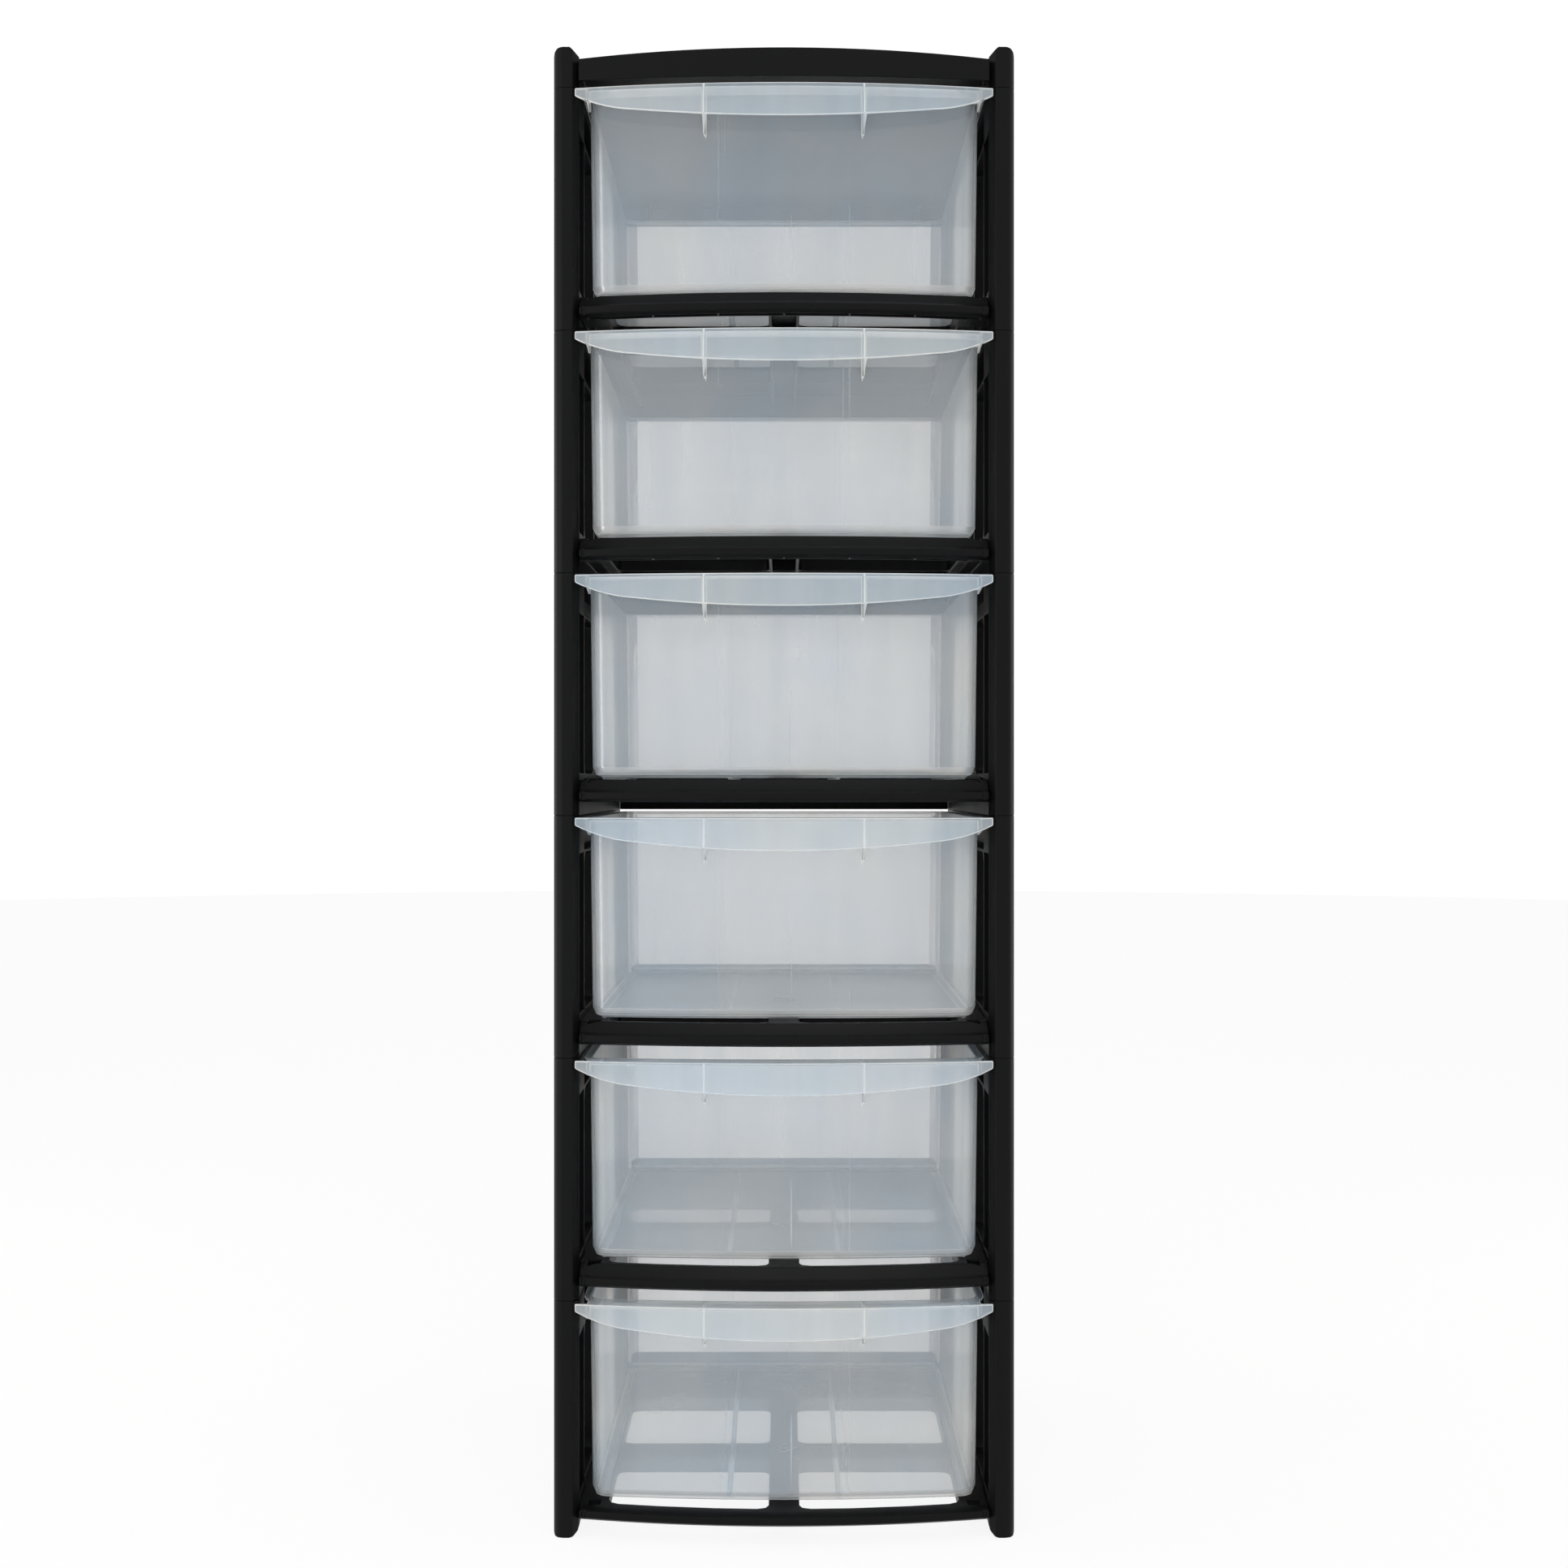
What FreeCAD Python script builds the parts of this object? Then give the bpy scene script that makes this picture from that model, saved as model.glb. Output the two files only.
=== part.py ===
import FreeCAD, Part
import math
import os

from FreeCAD import Vector

# A free-standing tower of six clear drawers in a black plastic frame. Each tier is a pair of
# moulded side frames with a ribbed shelf between them. The tiers stack on spigots, and a bowed
# lid closes the top. Lengths are in millimetres. X runs to the right, the drawers pull out
# towards -Y and Z is up. The origin is on the floor, under the middle of the tower.

# Whole tower
tower_width = 360.0
tower_depth = 400.0
tier_count = 6
bay_height = 161.0  # from a shelf's top face up to the seam above it
shelf_lift = 28.0  # from a tier's foot up to its shelf's top face
base_lift = 23.4  # the same for the bottom tier
lid_height = 31.6
front_bow = 16.0  # how far the rails and lips swell out ahead of the posts
seat_gap = 0.3  # play between pieces that are pushed together
overrun = 4.0  # how far a cut runs past the face that it opens
corner_strip_count = 3  # flat strips that make up a small rounded corner
bow_strips = 6  # flat strips that make up a drawer's bowed wall

# Side frames
side_width = 20.0
side_wall = 2.5
post_depth = 45.0
post_round = 8.0
post_crease = 5.0  # width of the slanted strip beside the drawer
post_slant = 6.0  # how far that strip runs back
post_nose = 8.0  # solid front of a post, ahead of its recess
rear_round = 4.0
window_reach = 155.0
window_bar = 8.0  # upright between a side frame's two windows
window_round = 10.0
window_count = 2
recess_rise = 5.0  # from the shelf's top face up to the recesses
recess_drop = 30.0  # from the recesses up to the tier's top
web_sink = 1.0
web_rib = 2.0
web_columns = 2
spigot_height = 10.0
spigot_taper = 1.5
foot_outer_round = 3.0
foot_inner_round = 8.0
foot_arch = 8.0

# Shelves
shelf_plate = 2.5
shelf_skirt = 15.0
base_skirt = 10.0
shelf_wall = 2.5
shelf_rib = 1.6
bar_depth = 15.0
bar_cells = 6
nose_depth = 6.0
nose_round = 4.5
nose_strips = 3
nose_height = 9.9
nose_drop = 7.6
base_nose_height = 9.6
base_nose_drop = 0.4
slope_depth = 4.0
neck_width = 3.0
neck_depth = 1.5
neck_inset = 2.0
side_rail_width = 22.0
middle_bar_width = 24.0
cross_bar_setback = 122.0  # from the front of the bow to the cross bar
cross_bar_width = 42.0
rear_opening_depth = 115.0
opening_round = 8.0
opening_strips = 2
opening_bow_shares = (1 / 3, 2 / 3)
relief_length = 11.0
relief_width = 10.0
tongue_reach = 10.0
tongue_headroom = 0.5
shelf_rear_margin = 4.0
stop_height = 10.0
stop_bevel = 4.0
stop_thickness = 3.0

# Drawers
drawer_top_gap = 1.6
drawer_side_gap = 2.0
drawer_setback = 20.0  # from the lip's front to the drawer's wall
drawer_length = 348.0
drawer_wall = 2.0
drawer_floor = 2.2
drawer_front_bow = 8.0
side_draft = 2.0
rear_draft = 3.0
drawer_corner = 12.0
floor_round = 8.0
floor_steps = 2
rim_out = 5.0
rim_height = 2.0
runner_gap = 0.3
runner_height = 1.5
runner_width = 3.0
runner_setback = 12.0
runner_inset = 16.0  # from the rim's edge in to the outer runners
inner_runner_share = 0.303
gate_side = 14.0
gate_height = 0.6
gate_setback = 120.0

# Pull lips
lip_height = 25.5
lip_wall = 2.0
lip_overlap = 2.6  # how far a tip passes the inner face of the post behind it
lip_gap = 0.6
lip_tip_height = 6.0
lip_shoulder_x_share = 0.72
lip_shoulder_height_share = 0.735
lip_end_x_share = 0.92
lip_end_height_share = 0.46
web_inset = 6.5
web_thickness = 2.0
web_front_height = 12.0
web_back_height = 27.0
gusset_x = 62.0
gusset_thickness = 2.5
gusset_run_down = 8.0

# Lid
lid_sink = 9.5  # from the top of the side rims down to the lid's top face
lid_plate = 2.5
lid_rim_round = 6.0
lid_rim_flat = 7.0
lid_rail_height = 17.0
lid_rail_wall = 3.0
lid_crown = 3.0
lid_belly = 2.0
lid_skirt_wall = 2.5
lid_skirt_gap = 2.0
lid_gusset_thickness = 2.0
lid_gusset_depth = 12.0
lid_gusset_places_shares = (-0.82, -0.41, 0.41, 0.82)

# Places that several pieces share
front_y = -tower_depth / 2
rear_y = tower_depth / 2
tier_height = shelf_lift + bay_height
bottom_tier_height = base_lift + bay_height
post_front_y = front_y + front_bow
post_back_y = post_front_y + post_depth
rear_post_y = rear_y - post_depth
window_back_y = post_back_y + window_reach
outer_x = tower_width / 2
inner_x = outer_x - side_width
top_seam_z = bottom_tier_height + (tier_count - 1) * tier_height
tower_height = top_seam_z + lid_height
shelf_half = inner_x - seat_gap
bow_radius = (inner_x ** 2 + front_bow ** 2) / (2 * front_bow)
bow_centre_y = front_y + bow_radius

along_x = Vector(1, 0, 0)
along_z = Vector(0, 0, 1)
origin = Vector(0, 0, 0)


def line(start, end):
    """Return the straight edge between two points."""
    return Part.makeLine(start, end)


def arc(start, middle, end):
    """Return the round edge through three points."""
    return Part.Arc(start, middle, end).toShape()


def prism(edges, travel):
    """Return the solid that a closed outline sweeps along a vector."""
    return Part.Face(Part.Wire(edges)).extrude(travel)


def polygon_prism(points, travel):
    """Return the solid that a straight-sided outline sweeps along a vector."""
    return Part.Face(Part.makePolygon(points + points[:1])).extrude(travel)


def block(low, high):
    """Return the box between two opposite corners."""
    size = high.sub(low)
    return Part.makeBox(size.x, size.y, size.z, low)


def rounded_points(points, radii, strips):
    """Return a polygon's points with its corners rounded off in short strips, each by its radius."""
    found = []
    for index, apex in enumerate(points):
        radius = radii[index]
        if radius == 0:
            found.append(apex)
            continue
        before = points[index - 1]
        after = points[(index + 1) % len(points)]
        start = apex.add(before.sub(apex).normalize().multiply(radius))
        end = apex.add(after.sub(apex).normalize().multiply(radius))
        centre = start.add(end).sub(apex)
        for step in range(strips + 1):
            turn = math.pi / 2 * step / strips
            across = start.sub(centre).multiply(math.cos(turn))
            along = end.sub(centre).multiply(math.sin(turn))
            found.append(centre.add(across).add(along))
    return found


def mirrored(solid):
    """Return the same solid on the other side of the tower."""
    return solid.mirror(origin, along_x)


def bow_y(x, setback):
    """Return where the rails' bow stands at x, a setback behind its front."""
    return bow_centre_y - math.sqrt((bow_radius - setback) ** 2 - x ** 2)


def bow_arc(half, setback, z):
    """Return the bow's edge from -half to half at one height."""
    end_y = bow_y(half, setback)
    return arc(Vector(-half, end_y, z), Vector(0, front_y + setback, z), Vector(half, end_y, z))


def side_plan(z):
    """Return the outline of a right side frame seen from above, as points."""
    points = [
        Vector(inner_x, rear_y, z),
        Vector(inner_x, post_front_y + post_slant, z),
        Vector(inner_x + post_crease, post_front_y, z),
        Vector(outer_x, post_front_y, z),
        Vector(outer_x, rear_y, z),
    ]
    return rounded_points(points, [0, 0, 0, post_round, rear_round], corner_strip_count)


def post_spans():
    """Return the front and rear reach of the hollow in each post."""
    front = (post_front_y + post_nose, post_back_y - side_wall)
    rear = (rear_post_y + side_wall, rear_y - side_wall)
    return front, rear


def side_frame(height, plane, stands_on_floor):
    """Return the right side frame of one tier, its foot at zero height."""
    body = polygon_prism(side_plan(0), Vector(0, 0, height))
    if stands_on_floor:
        body = with_feet(body, height)
    low = plane + recess_rise
    high = height - recess_drop
    skin = outer_x - side_wall
    cuts = side_recesses(low, high, skin)
    cuts.append(block(
        Vector(inner_x - overrun, post_back_y, high + side_wall),
        Vector(skin, rear_post_y, height - side_wall),
    ))
    cuts.append(block(
        Vector(inner_x - overrun, post_back_y - seat_gap, plane - shelf_plate),
        Vector(inner_x + tongue_reach + seat_gap, rear_post_y + seat_gap, plane + tongue_headroom),
    ))
    cuts += underside_hollows(plane, skin, stands_on_floor)
    return body.cut(cuts).fuse(spigots(height)).removeSplitter()


def with_feet(body, height):
    """Round the foot of a bottom side frame and raise its middle off the floor."""
    y = post_front_y - overrun
    outline = [
        Vector(inner_x, y, 0),
        Vector(outer_x, y, 0),
        Vector(outer_x, y, height),
        Vector(inner_x, y, height),
    ]
    rounded = rounded_points(outline, [foot_inner_round, foot_outer_round, 0, 0], corner_strip_count)
    front_view = polygon_prism(rounded, Vector(0, tower_depth, 0))
    side_view = polygon_prism(
        [
            Vector(inner_x - overrun, post_back_y - foot_arch, -overrun),
            Vector(inner_x - overrun, post_back_y - foot_arch, 0),
            Vector(inner_x - overrun, post_back_y, foot_arch),
            Vector(inner_x - overrun, rear_post_y, foot_arch),
            Vector(inner_x - overrun, rear_post_y + foot_arch, 0),
            Vector(inner_x - overrun, rear_post_y + foot_arch, -overrun),
        ],
        Vector(side_width + 2 * overrun, 0, 0),
    )
    return body.common(front_view).cut(side_view)


def side_recesses(low, high, skin):
    """Return what opens a side frame between two heights: posts, windows and ribbed web."""
    cuts = []
    for start, end in post_spans():
        cuts.append(block(Vector(inner_x - overrun, start, low), Vector(skin, end, high)))
    travel = Vector(side_width + 2 * overrun, 0, 0)
    window_pitch = (window_reach + window_bar) / window_count
    for index in range(window_count):
        start = post_back_y + index * window_pitch
        end = start + window_pitch - window_bar
        window = [
            Vector(inner_x - overrun, start, low),
            Vector(inner_x - overrun, end, low),
            Vector(inner_x - overrun, end, high),
            Vector(inner_x - overrun, start, high),
        ]
        rounds = [window_round] * len(window)
        cuts.append(polygon_prism(rounded_points(window, rounds, opening_strips), travel))
    web_start = window_back_y + side_wall
    cuts.append(block(
        Vector(outer_x - web_sink, web_start, low),
        Vector(outer_x + overrun, rear_post_y, high),
    ))
    pitch = (rear_post_y - web_start + web_rib) / web_columns
    for column in range(web_columns):
        y = web_start + column * pitch
        cuts.append(block(
            Vector(inner_x - overrun, y, low),
            Vector(skin - web_sink, y + pitch - web_rib, high),
        ))
    return cuts


def underside_hollows(plane, skin, stands_on_floor):
    """Return the hollows that open under a side frame; a foot's own end stays closed."""
    ceiling = plane - shelf_plate - side_wall
    spans = [(post_back_y, rear_post_y)]
    if not stands_on_floor:
        spans += post_spans()
    return [
        block(Vector(inner_x + side_wall, start, -overrun), Vector(skin, end, ceiling))
        for start, end in spans
    ]


def spigots(height):
    """Return the two tapered spigots on a side frame, which the next tier is pushed onto."""
    left = inner_x + side_wall + seat_gap
    travel = Vector(side_width - 2 * (side_wall + seat_gap), 0, 0)
    found = []
    for start, end in post_spans():
        front = start + seat_gap
        rear = end - seat_gap
        found.append(polygon_prism(
            [
                Vector(left, front, height - side_wall),
                Vector(left, rear, height - side_wall),
                Vector(left, rear - spigot_taper, height + spigot_height),
                Vector(left, front + spigot_taper, height + spigot_height),
            ],
            travel,
        ))
    return found


def front_bar(plane, drop, height):
    """Return the bowed front bar of a shelf: a rounded nose on a ribbed, hollow back."""
    nose_top = plane - drop
    nose_bottom = nose_top - height
    back_r = bow_radius - bar_depth
    slope_r = bow_radius - nose_depth - slope_depth

    def point(r, z):
        return Vector(0, bow_centre_y - r, z)

    profile = [point(back_r, plane), point(slope_r, plane)]
    for step in range(nose_strips + 1):
        turn = math.pi * (1 / 2 - step / nose_strips)
        r = bow_radius - nose_round * (1 - math.cos(turn))
        profile.append(point(r, nose_top - height * (1 - math.sin(turn)) / 2))
    profile.append(point(back_r, nose_bottom))
    half_turn = math.degrees(math.asin(inner_x / back_r))
    axis_foot = Vector(0, bow_centre_y, 0)
    face = Part.Face(Part.makePolygon(profile + profile[:1]))
    face.rotate(axis_foot, along_z, -half_turn)
    bar = face.revolve(axis_foot, along_z, 2 * half_turn)
    trim = block(
        Vector(-shelf_half, front_y - overrun, nose_bottom - overrun),
        Vector(shelf_half, rear_y, plane + overrun),
    )
    ceiling = min(plane, nose_top) - shelf_plate
    return bar.common(trim).cut(bar_hollows(nose_bottom - overrun, ceiling))


def bar_hollows(low, ceiling):
    """Return the row of hollows between the ribs under a shelf's front bar."""
    half = shelf_half - neck_inset - neck_width - shelf_wall
    pitch = (2 * half + shelf_rib) / bar_cells
    hollows = []
    for index in range(bar_cells):
        left = -half + index * pitch
        right = left + pitch - shelf_rib
        hollows.append(polygon_prism(
            [
                Vector(left, bow_y(left, nose_depth), low),
                Vector(right, bow_y(right, nose_depth), low),
                Vector(right, bow_y(right, bar_depth - shelf_wall), low),
                Vector(left, bow_y(left, bar_depth - shelf_wall), low),
            ],
            Vector(0, 0, ceiling - low),
        ))
    return hollows


def shelf_opening(side, start_y, end_y, low, high):
    """Return one of the four openings through a shelf; without a start it follows the bow."""
    inner = side * middle_bar_width / 2
    outer = side * (shelf_half - side_rail_width)
    rear_corners = [Vector(outer, end_y, low), Vector(inner, end_y, low)]
    if start_y is None:
        bow = [inner + share * (outer - inner) for share in opening_bow_shares]
        front = [Vector(x, bow_y(x, bar_depth), low) for x in [inner] + bow + [outer]]
        radii = [opening_round] + [0] * len(bow) + [opening_round]
    else:
        front = [Vector(inner, start_y, low), Vector(outer, start_y, low)]
        radii = [opening_round] * len(front)
    radii += [opening_round] * len(rear_corners)
    rounded = rounded_points(front + rear_corners, radii, opening_strips)
    return polygon_prism(rounded, Vector(0, 0, high - low))


def shelf_cells(cross_y, rear_opening_end, rear):
    """Return the plan rectangles that are hollow under a shelf's bars and rails."""
    rail_inner = shelf_half - side_rail_width + shelf_wall
    rail_outer = shelf_half - shelf_wall
    middle = middle_bar_width / 2 - shelf_wall
    cross_start = cross_y + shelf_wall
    cross_end = cross_y + cross_bar_width
    rear_end = rear - shelf_wall
    cells = [
        (-middle, middle, front_y + bar_depth + shelf_wall, cross_y),
        (-middle, middle, cross_start, cross_end - shelf_wall),
        (-middle, middle, cross_end, rear_end),
    ]
    for side in (-1, 1):
        for near, far, start, end in (
            (rail_inner, rail_outer, post_back_y, rear_end),
            (middle + shelf_wall, rail_inner - shelf_wall, cross_start, cross_end - shelf_wall),
            (middle + shelf_wall, rail_inner - shelf_wall, rear_opening_end + shelf_wall, rear_end),
        ):
            low, high = sorted((side * near, side * far))
            cells.append((low, high, start, end))
    return cells


def shelf(plane, skirt, drop, height, foot):
    """Return a shelf frame whose top face is at the height plane and rear wall ends at foot."""
    low = plane - skirt
    rear = rear_y - shelf_rear_margin
    start = bow_arc(shelf_half, bar_depth, low)
    left = Vector(-shelf_half, bow_y(shelf_half, bar_depth), low)
    right = Vector(shelf_half, bow_y(shelf_half, bar_depth), low)
    slab = prism(
        [
            start,
            line(right, Vector(shelf_half, rear, low)),
            line(Vector(shelf_half, rear, low), Vector(-shelf_half, rear, low)),
            line(Vector(-shelf_half, rear, low), left),
        ],
        Vector(0, 0, skirt),
    )
    cross_y = front_y + cross_bar_setback
    cross_end = cross_y + cross_bar_width
    rear_opening_end = cross_end + rear_opening_depth
    cuts = []
    for side in (-1, 1):
        for start_y, end_y in ((None, cross_y), (cross_end, rear_opening_end)):
            cuts.append(shelf_opening(side, start_y, end_y, low - overrun, plane + overrun))
    for x0, x1, y0, y1 in shelf_cells(cross_y, rear_opening_end, rear):
        cuts.append(block(Vector(x0, y0, low - overrun), Vector(x1, y1, plane - shelf_plate)))
    additions = [front_bar(plane, drop, height), rear_stop(plane, rear), rear_wall(plane, foot, rear)]
    for side in (-1, 1):
        near, far = sorted((side * (shelf_half - shelf_wall), side * (inner_x + tongue_reach)))
        additions.append(block(
            Vector(near, post_back_y, plane - shelf_plate),
            Vector(far, rear_post_y, plane),
        ))
    body = slab.cut(cuts).fuse(additions)
    return body.cut(shelf_trims(plane, low)).removeSplitter()


def rear_wall(plane, foot, rear):
    """Return the wall along a shelf's rear, which hides the gap over the drawer below."""
    return block(
        Vector(-shelf_half, rear - shelf_wall, foot),
        Vector(shelf_half, rear, plane - shelf_plate),
    )


def rear_stop(plane, rear):
    """Return the low upstand behind the drawer, its top corners cut off."""
    half = shelf_half - side_rail_width / 2
    top = plane + stop_height
    return polygon_prism(
        [
            Vector(-half, rear, plane - shelf_plate),
            Vector(half, rear, plane - shelf_plate),
            Vector(half, rear, top - stop_bevel),
            Vector(half - stop_bevel, rear, top),
            Vector(stop_bevel - half, rear, top),
            Vector(-half, rear, top - stop_bevel),
        ],
        Vector(0, -stop_thickness, 0),
    )


def shelf_trims(plane, low):
    """Return the relief holes beside the front openings and the necks at the nose's ends."""
    relief_x = shelf_half - side_rail_width / 2
    relief_y = bow_y(relief_x, bar_depth) + relief_length / 2
    neck_x = shelf_half - neck_inset
    neck_y = bow_y(neck_x, neck_depth)
    cuts = []
    for side in (-1, 1):
        for near, far, start, end in (
            (relief_x - relief_width / 2, relief_x + relief_width / 2, relief_y - relief_length, relief_y),
            (neck_x - neck_width, neck_x, neck_y - neck_depth - overrun, neck_y),
        ):
            left, right = sorted((side * near, side * far))
            cuts.append(block(
                Vector(left, start, low - nose_height - overrun),
                Vector(right, end, plane + overrun),
            ))
    return cuts


# A drawer is drawn with its shelf's top face at zero height.
drawer_top = bay_height - drawer_top_gap
drawer_under = runner_gap + runner_height
rim_half = inner_x - drawer_side_gap
outer_runner_x = rim_half - runner_inset
inner_runner_x = inner_runner_share * outer_runner_x
wall_front_y = front_y + drawer_setback
lip_front_r = (
    ((inner_x + lip_overlap) ** 2 + (front_bow - lip_gap - lip_wall) ** 2)
    / (2 * (front_bow - lip_gap - lip_wall))
)


def tub_outline(z, inset):
    """Return the outline of the drawer's wall at a height, drawn in by an inset, as points."""
    rise_share = (z - drawer_under) / (drawer_top - drawer_under)
    half = rim_half - rim_out - side_draft * (1 - rise_share) - inset
    rear = wall_front_y + drawer_length - rear_draft * (1 - rise_share) - inset
    shoulder = wall_front_y + inset + drawer_front_bow
    radius = drawer_corner - inset
    corners = [
        Vector(half, shoulder, z),
        Vector(half, rear, z),
        Vector(-half, rear, z),
        Vector(-half, shoulder, z),
    ]
    points = rounded_points(corners, [radius] * len(corners), corner_strip_count)
    bow_half = half - radius
    swell = drawer_front_bow * bow_half / (rim_half - drawer_corner)
    for step in range(1, bow_strips):
        across_share = 2 * step / bow_strips - 1
        points.append(Vector(bow_half * across_share, shoulder - swell * (1 - across_share ** 2), z))
    return points


def stacked(sections):
    """Return the solid with flat faces between outlines of equal count, one above the other."""
    bottom = sections[0]
    top = sections[-1]
    faces = [
        Part.Face(Part.makePolygon(bottom + bottom[:1])),
        Part.Face(Part.makePolygon(top + top[:1])),
    ]
    for lower, upper in zip(sections, sections[1:]):
        for index in range(len(lower)):
            corners = [lower[index - 1], lower[index], upper[index], upper[index - 1]]
            faces.append(Part.Face(Part.makePolygon(corners + corners[:1])))
    shell = Part.makeShell(faces)
    shell.sewShape()
    return Part.makeSolid(shell)


def tub(z_low, z_high, inset, radius):
    """Return the tapered solid inside the drawer's wall outline, its foot rounded."""
    sections = []
    for step in range(floor_steps):
        turn = math.pi / 2 * step / floor_steps
        z = z_low + radius * (1 - math.cos(turn))
        sections.append(tub_outline(z, inset + radius * (1 - math.sin(turn))))
    sections.append(tub_outline(z_low + radius, inset))
    sections.append(tub_outline(z_high, inset))
    return stacked(sections)


def lip_y(x, setback):
    """Return where the lip's bow stands at x, a setback behind its front."""
    return front_y + lip_front_r - math.sqrt((lip_front_r - setback) ** 2 - x ** 2)


def lip_crescent(half, setback, rear, z_low, z_high):
    """Return the upright solid between the lip's bow and a straight line behind it."""
    end_y = lip_y(half, setback)
    left = Vector(-half, end_y, z_low)
    right = Vector(half, end_y, z_low)
    return prism(
        [
            arc(left, Vector(0, front_y + setback, z_low), right),
            line(right, Vector(half, rear, z_low)),
            line(Vector(half, rear, z_low), Vector(-half, rear, z_low)),
            line(Vector(-half, rear, z_low), left),
        ],
        Vector(0, 0, z_high - z_low),
    )


def lip_face(half, y):
    """Return the lip's outline seen from the front: straight above, full and round below."""

    def point(across_share, height_share):
        return Vector(half * across_share, y, drawer_top - lip_height * height_share)

    shoulder = (lip_shoulder_x_share, lip_shoulder_height_share)
    end = (lip_end_x_share, lip_end_height_share)
    tip = Vector(half, y, drawer_top - lip_tip_height)
    other_tip = Vector(-half, y, drawer_top - lip_tip_height)
    right_shoulder = point(*shoulder)
    left_shoulder = point(-shoulder[0], shoulder[1])
    return Part.Face(Part.Wire([
        line(point(-1, 0), point(1, 0)),
        line(point(1, 0), tip),
        arc(tip, point(*end), right_shoulder),
        arc(right_shoulder, point(0, 1), left_shoulder),
        arc(left_shoulder, point(-end[0], end[1]), other_tip),
        line(other_tip, point(-1, 0)),
    ]))


def pull_lip():
    """Return the bowed pull lip with its top, gussets and end webs, still open behind."""
    half = inner_x + lip_overlap
    rear = post_front_y - lip_gap
    low = drawer_top - lip_height
    apron = lip_crescent(half, 0, rear, low - overrun, drawer_top)
    front_view = lip_face(half, front_y - overrun)
    apron = apron.common(front_view.extrude(Vector(0, tower_depth, 0)))
    web_outer = rim_half - web_inset + web_thickness
    hollow = lip_crescent(
        web_outer - web_thickness,
        lip_wall,
        rear + overrun,
        low - lip_height,
        drawer_top - lip_wall,
    )
    lip = apron.cut(hollow)
    back = wall_front_y + drawer_front_bow + drawer_wall / 2
    bridge = block(
        Vector(-web_outer, rear - lip_wall / 2, drawer_top - lip_wall),
        Vector(web_outer, back, drawer_top),
    )
    pieces = [bridge]
    for side in (-1, 1):
        pieces.append(upright_web(
            side * gusset_x, gusset_thickness, wall_front_y + drawer_wall,
            lip_height, lip_height + gusset_run_down,
        ))
        pieces.append(upright_web(
            side * (web_outer - web_thickness / 2), web_thickness, back,
            web_front_height, web_back_height,
        ))
    return lip.fuse(pieces)


def upright_web(x, thickness, back, front_height, back_height):
    """Return an upright plate between the lip and the drawer's wall, deeper at the wall."""
    front = lip_y(abs(x) - thickness / 2, lip_wall / 2)
    left = x - thickness / 2
    outline = [
        Vector(left, front, drawer_top),
        Vector(left, front, drawer_top - front_height + lip_wall),
        Vector(left, back, drawer_top - back_height),
        Vector(left, back, drawer_top),
    ]
    return polygon_prism(outline, Vector(thickness, 0, 0))


def drawer():
    """Return one clear drawer: a drafted tub with a rim, a pull lip and runners."""
    outer = tub(drawer_under, drawer_top, 0, floor_round)
    rim = polygon_prism(tub_outline(drawer_top, -rim_out), Vector(0, 0, -rim_height))
    runners = []
    runner_start = wall_front_y + drawer_front_bow + runner_setback
    runner_end = wall_front_y + drawer_length - rear_draft - runner_setback
    for x in (-outer_runner_x, -inner_runner_x, inner_runner_x, outer_runner_x):
        runners.append(block(
            Vector(x - runner_width / 2, runner_start, runner_gap),
            Vector(x + runner_width / 2, runner_end, drawer_under + drawer_floor / 2),
        ))
    body = outer.fuse([rim, pull_lip()] + runners)
    floor_top = drawer_under + drawer_floor
    cavity = tub(floor_top, drawer_top + overrun, drawer_wall, floor_round - drawer_wall)
    return body.cut(cavity).fuse(gate_mark(floor_top)).removeSplitter()


def gate_mark(floor_top):
    """Return the low diamond that the moulding gate leaves on the drawer's floor."""
    y = wall_front_y + gate_setback
    reach = gate_side / math.sqrt(2)
    outline = [
        Vector(reach, y, floor_top - gate_height),
        Vector(0, y + reach, floor_top - gate_height),
        Vector(-reach, y, floor_top - gate_height),
        Vector(0, y - reach, floor_top - gate_height),
    ]
    return polygon_prism(outline, Vector(0, 0, 2 * gate_height))


def lid_side():
    """Return the right side rim of the lid, which stands on the top tier's side frame."""
    foot = top_seam_z
    plate_top = tower_height - lid_sink
    left = inner_x - overrun
    profile = [
        Vector(left, front_y, foot),
        Vector(outer_x, front_y, foot),
        Vector(outer_x, front_y, tower_height),
        Vector(outer_x - lid_rim_round - lid_rim_flat, front_y, tower_height),
        Vector(left, front_y, plate_top),
    ]
    rounded = rounded_points(profile, [0, 0, lid_rim_round, 0, 0], corner_strip_count)
    body = polygon_prism(side_plan(foot), Vector(0, 0, lid_height))
    body = body.common(polygon_prism(rounded, Vector(0, tower_depth, 0)))
    hollows = [
        block(
            Vector(inner_x + side_wall, start, foot - overrun),
            Vector(outer_x - side_wall, end, foot + spigot_height + side_wall),
        )
        for start, end in post_spans()
    ]
    return body.cut(hollows)


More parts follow.
